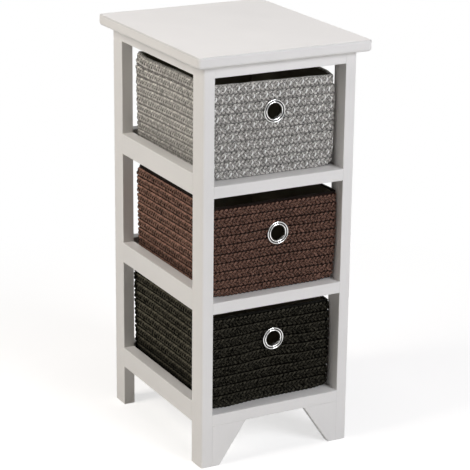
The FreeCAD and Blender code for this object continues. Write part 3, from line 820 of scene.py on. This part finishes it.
def rim_binding(basket, material):
    """Tape folded over the rim, a little uneven."""
    share = np.arange(RING_STEPS) / RING_STEPS
    middle = (TAPE_INSET + WALL + TAPE_INSIDE) / 2
    half = middle - TAPE_INSET
    tape_points, side_roundness, top_roundness = 14, 0.55, 0.7
    turn = np.linspace(0, FULL_TURN, tape_points, endpoint=False)
    out = np.sign(np.cos(turn)) * np.abs(np.cos(turn)) ** side_roundness * half
    up = np.sign(np.sin(turn)) * np.abs(np.sin(turn)) ** top_roundness * TAPE_HEIGHT / 2
    rest = basket.height - TAPE_HEIGHT / 2
    uneven = ripple(share, *TAPE_WAVES[0]) + ripple(share, *TAPE_WAVES[1])
    heights = rest + up[:, None] + uneven[None, :] - TAPE_DROP
    points = basket.wall(share[None, :], heights, middle - out[:, None])[0]
    girth = basket.girth(basket.height, middle)
    lay = np.stack(np.broadcast_arrays(share[None, :] * girth, turn[:, None], 0.0), -1).reshape(-1, 3)
    faces = grid_faces(len(turn), RING_STEPS, closed=True)[:, ::-1]
    return mesh_piece(basket.level + "_rim_tape", basket.to_cabinet(points.reshape(-1, 3)), faces, material,
                      basket.body, lay)


def bead(middle, radius, first, last):
    """Radius and depth of points on a round bead, from one angle in degrees to another."""
    bead_points = 17
    angles = np.radians(np.linspace(first, last, bead_points))
    return [(middle + radius * math.cos(angle), radius - radius * math.sin(angle)) for angle in angles]


def eyelet_ring(basket, material):
    """Chrome eyelet: an outer and an inner bead with a groove between them, and a tube through the wall."""
    low, high = [np.array(end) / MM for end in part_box(basket.level + "_basket_eyelet")]
    flange, bore, length = (high[0] - low[0]) / 2, EYELET_BORE, high[1] - low[1]
    groove = RING_DEPTH - GROOVE_RISE
    tube_wall, collar = 0.6, 0.7
    profile = bead(flange - BEAD_OUTER, BEAD_OUTER, -70, 175)
    profile += [(flange - 2 * BEAD_OUTER, groove), (bore + 2 * BEAD_INNER, groove)]
    profile += bead(bore + BEAD_INNER, BEAD_INNER, 5, 180)
    profile += [(bore, length), (bore + tube_wall, length), (bore + collar, RING_DEPTH),
                (flange - BEAD_OUTER, RING_DEPTH)]
    columns = 128
    turn = np.arange(columns) / columns * FULL_TURN
    radius, depth = np.array(profile).T[:, :, None]
    x = (low[0] + high[0]) / 2 + radius * np.cos(turn)
    z = (low[2] + high[2]) / 2 + radius * np.sin(turn)
    points = np.stack(np.broadcast_arrays(x, low[1] + depth, z), -1)
    faces = grid_faces(len(profile), columns, closed=True)
    return mesh_piece(basket.level + "_eyelet_ring", points, faces, material, basket.body)


# Finishes of the wood and the hidden fittings.
paint = {axis: white_paint("white_paint_" + axis, axis) for axis in "xyz"}
beech = bare_wood("bare_beech")
plated = zinc("zinc_plate")
card = grey_card("grey_card")
cloth = lining_cloth("black_lining_cloth")


def grain_of(node):
    """Boards are sawn along their length."""
    low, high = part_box(node)
    spans = [b - a for a, b in zip(low, high)]
    return "xyz"[spans.index(max(spans))]


def give_finish(node, material):
    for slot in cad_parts[node].material_slots:
        slot.material = material


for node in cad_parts:
    if node.endswith(("_post", "_rail", "_shelf", "_bracket", "top_board")):
        give_finish(node, paint[grain_of(node)])
    elif node.endswith("_dowels"):
        give_finish(node, beech)
    elif node in ("cam_bolts", "cam_locks", "top_screws"):
        give_finish(node, plated)
    elif node.endswith("_base"):
        give_finish(node, card)

# Baskets: how each one differs from the plain shape, and the dark and the light tone of its cords and tape.
SHAPES = {
    "upper": dict(seed=11, corner=6.0, bows=(6.0, 0.0, 0.0, 1.0), rows=(12.9, 2.5), seam=2.5, sag=8.8,
                  push=0.3, rim=(2.5, -0.5), dent=5.0, tuck=4.0, peak=5.0),
    "middle": dict(seed=22, corner=3.5, bows=(2.5, 0.0, 0.0, 1.0), rows=(12.7, 0.0), sag=1.0,
                   flare=(1.0, 1.6), push=0.5, belly=3.6, rim=(-1.0, -1.5), tuck=4.0),
    "lower": dict(seed=33, corner=3.5, bows=(3.0, 0.0, 0.0, 1.0), rows=(13.55, 0.6), sag=0.5,
                  flare=(1.5, 0.0), push=0.7, toe=7.0, twist=6.0),
}
TINTS = {"upper": "grey", "middle": "brown", "lower": "black"}
TAPES = {
    "grey": (linear(116, 114, 110), linear(214, 212, 207)),
    "brown": (linear(12, 8, 6), linear(32, 23, 19)),
    "black": (linear(8, 8, 6), linear(28, 27, 23)),
}
CORDS = {
    "grey": [(linear(108, 107, 104), linear(224, 221, 216)),
             (linear(102, 101, 98), linear(212, 209, 204)),
             (linear(94, 93, 90), linear(200, 197, 192))],
    "brown": [(linear(36, 20, 15), linear(133, 101, 88)),
              (linear(34, 19, 14), linear(124, 94, 81)),
              (linear(31, 17, 12), linear(115, 86, 74))],
    "black": [(linear(3, 3, 2), linear(69, 67, 58)),
              (linear(3, 3, 2), linear(63, 61, 53)),
              (linear(3, 3, 2), linear(57, 55, 48))],
}
# Seam cords: real cords between the rows, whose darker tones are partly painted shade for the recess between
# rows.
SEAMS = {
    "grey": (linear(84, 83, 80), linear(160, 158, 155)),
    "brown": (linear(22, 11, 8), linear(48, 31, 25)),
    "black": (linear(6, 6, 4), linear(16, 15, 12)),
}
PALE_THREAD = (linear(214, 214, 211), linear(250, 250, 249))
# Cord tones with painted light and shade: dark cord sides, a highlight at the top of each row, paler side
# walls and shade near the floor.
CORD_TONE_AND_PAINTED_LIGHT = {
    "grey": dict(contrast=2.4, side_shade=0.4, sheen=0.15, side_light=0.19, row_top_light=0.5, fill=0.6, fleck=0.6,
                 floor_shade=0.55),
    "brown": dict(contrast=3.8, side_shade=0.75, top_highlight=1.0, skew=1.45, shine=0.08, sheen=0.15, side_light=0.50,
                  row_top_light=0.9, bite=1.1, fleck=0.7, floor_shade=0.65),
    "black": dict(contrast=3.4, side_shade=0.8, top_highlight=1.6, skew=2.3, shine=0.0, sheen=0.06, side_light=0.90,
                  row_top_light=1.5, bite=0.9, fleck=0.7, floor_shade=1.5),
}
# Seams: gloss, and painted shade on the side walls.
SEAM_GLOSS_AND_PAINTED_SHADE = {
    "grey": dict(side_light=-0.35),
    "brown": dict(shine=0.05, side_light=-0.8),
    "black": dict(shine=0.0, side_light=-0.7),
}

for level in LEVELS:
    tint = TINTS[level]
    basket = Basket(level, **SHAPES[level])
    strands, seams = [Strands() for cord in range(CORDS_IN_BRAID)], Strands()
    thread = Strands() if tint == "grey" else None
    braid_walls(basket, strands, seams, thread)
    braid_floor(basket, strands)
    braids = []
    for k, strand in enumerate(strands):
        finish = braid_cord("%s_cord_%d" % (tint, k + 1), *CORDS[tint][k], floor=basket.floor * MM,
                            **CORD_TONE_AND_PAINTED_LIGHT[tint])
        braids.append(strand.piece("%s_braid_cord_%d" % (level, k + 1), finish, basket.body))
    finish = braid_cord(tint + "_seam", *SEAMS[tint], **SEAM_GLOSS_AND_PAINTED_SHADE[tint])
    braids.append(seams.piece(level + "_seam_cord", finish, basket.body))
    if thread:
        finish = braid_cord("pale_thread", *PALE_THREAD, contrast=1.2)
        braids.append(thread.piece(level + "_pale_thread", finish, basket.body))
    for braid in braids:
        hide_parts(level + "_basket_weave")
    bag = lining_bag(basket, cloth)
    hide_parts(level + "_basket_lining")
    tape = rim_binding(basket, rim_tape(tint + "_rim_tape", *TAPES[tint]))
    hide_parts(level + "_basket_binding")
    width, depth = 2 * basket.half * MM
    wall = basket.shell * MM
    width + 2 * wall
    depth + 2 * wall
    low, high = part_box(level + "_basket_eyelet")
    groove = (EYELET_BORE + 2 * BEAD_INNER) * MM, (high[0] - low[0]) / 2 - 2 * BEAD_OUTER * MM
    axis = (low[0] + high[0]) / 2, (low[2] + high[2]) / 2
    chrome = polished_chrome(level + "_chrome", axis, groove)
    ring = eyelet_ring(basket, chrome)
    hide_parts(level + "_basket_eyelet")
    give_finish(level + "_basket_washer", chrome)

# Floor.
bpy.ops.mesh.primitive_circle_add(vertices=96, radius=6.0, fill_type="NGON", location=(0, 0, 0))
ground = bpy.context.object
ground.name = "studio_floor"
ground.data.materials.append(stage_floor("studio_floor"))

# Room: white to the eye, darker at the front in what the chrome mirrors, and dim as a source of light.
sky = bpy.data.worlds.new("studio")
bpy.context.scene.world = sky
sky.use_nodes = True
sky.node_tree.nodes.clear()
pen = Value(sky.node_tree)
y, z = pen.place("Generated").axes()[1:]
overhead = z.ramp(0.35, 0.6)
behind = y.ramp(-0.15, 0.25)
fill = pen.node("Background", {"Color": (1.0, 0.75, 0.5, 1), "Strength": 0.03})
bright = pen.node("Background", {"Color": (1, 1, 1, 1), "Strength": 1.0})
room = pen.node("Background", {"Color": (1, 1, 1, 1), "Strength": 0.12})
studio = pen.node("MixShader", {0: overhead.math("MAXIMUM", behind), 1: room, 2: bright})
seen = pen.node("MixShader", {0: pen.node("LightPath", output="Is Camera Ray"), 1: studio, 2: bright})
pen.node("OutputWorld", {"Surface": pen.node("MixShader", {0: pen.sight(), 1: fill, 2: seen})})


def soft_box(name, place, size, power, colour):
    """An area lamp aimed at the middle of the cabinet."""
    lamp = bpy.data.lights.new(name, "AREA")
    lamp.shape = "RECTANGLE"
    lamp.size, lamp.size_y = size
    lamp.energy = power
    lamp.color = colour
    holder = bpy.data.objects.new(name, lamp)
    holder.location = place
    holder.rotation_mode = "QUATERNION"
    aim = Vector((0, 0, 0.3))
    holder.rotation_quaternion = (aim - Vector(place)).to_track_quat("-Z", "Y")
    bpy.context.scene.collection.objects.link(holder)


soft_box("front_lamp", place=(0.8, -2.6, 1.6), size=(1.3, 1.3), power=54, colour=(1.0, 1.01, 1.05))
soft_box("left_lamp", place=(-2.0, 0.1, 1.75), size=(1.0, 1.6), power=36, colour=(1.0, 0.95, 0.88))
soft_box("top_lamp", place=(0, 0, 3.0), size=(1.2, 1.2), power=18, colour=(1.0, 0.97, 0.99))

# Camera, as fitted to the photograph: focal length and width in pixels, sensor and places in millimetres.
FOCUS = 1913.807
PICTURE = 470
SENSOR = 36
SIDESTEP, AIM_HEIGHT, DISTANCE = 7.267, 279.908, 2706.353
AZIMUTH, TILT, ROLL = (math.radians(angle) for angle in (-28.181, 18.258, 0.653))
target = Vector((SIDESTEP * math.cos(AZIMUTH), SIDESTEP * math.sin(AZIMUTH), AIM_HEIGHT)) * MM
back = Vector((math.sin(AZIMUTH) * math.cos(TILT), -math.cos(AZIMUTH) * math.cos(TILT), math.sin(TILT)))
right = Vector((math.cos(AZIMUTH), math.sin(AZIMUTH), 0))
up = back.cross(right)
right, up = right * math.cos(ROLL) + up * math.sin(ROLL), up * math.cos(ROLL) - right * math.sin(ROLL)
lens = bpy.data.cameras.new("camera")
lens.sensor_width = SENSOR
lens.lens = FOCUS / PICTURE * lens.sensor_width
lens.clip_end = 50
camera = bpy.data.objects.new("camera", lens)
stance = Matrix((right, up, back)).transposed().to_4x4()
camera.matrix_world = Matrix.Translation(target + back * (DISTANCE * MM)) @ stance
bpy.context.scene.collection.objects.link(camera)
bpy.context.scene.camera = camera
bpy.context.scene.view_settings.view_transform = "Standard"
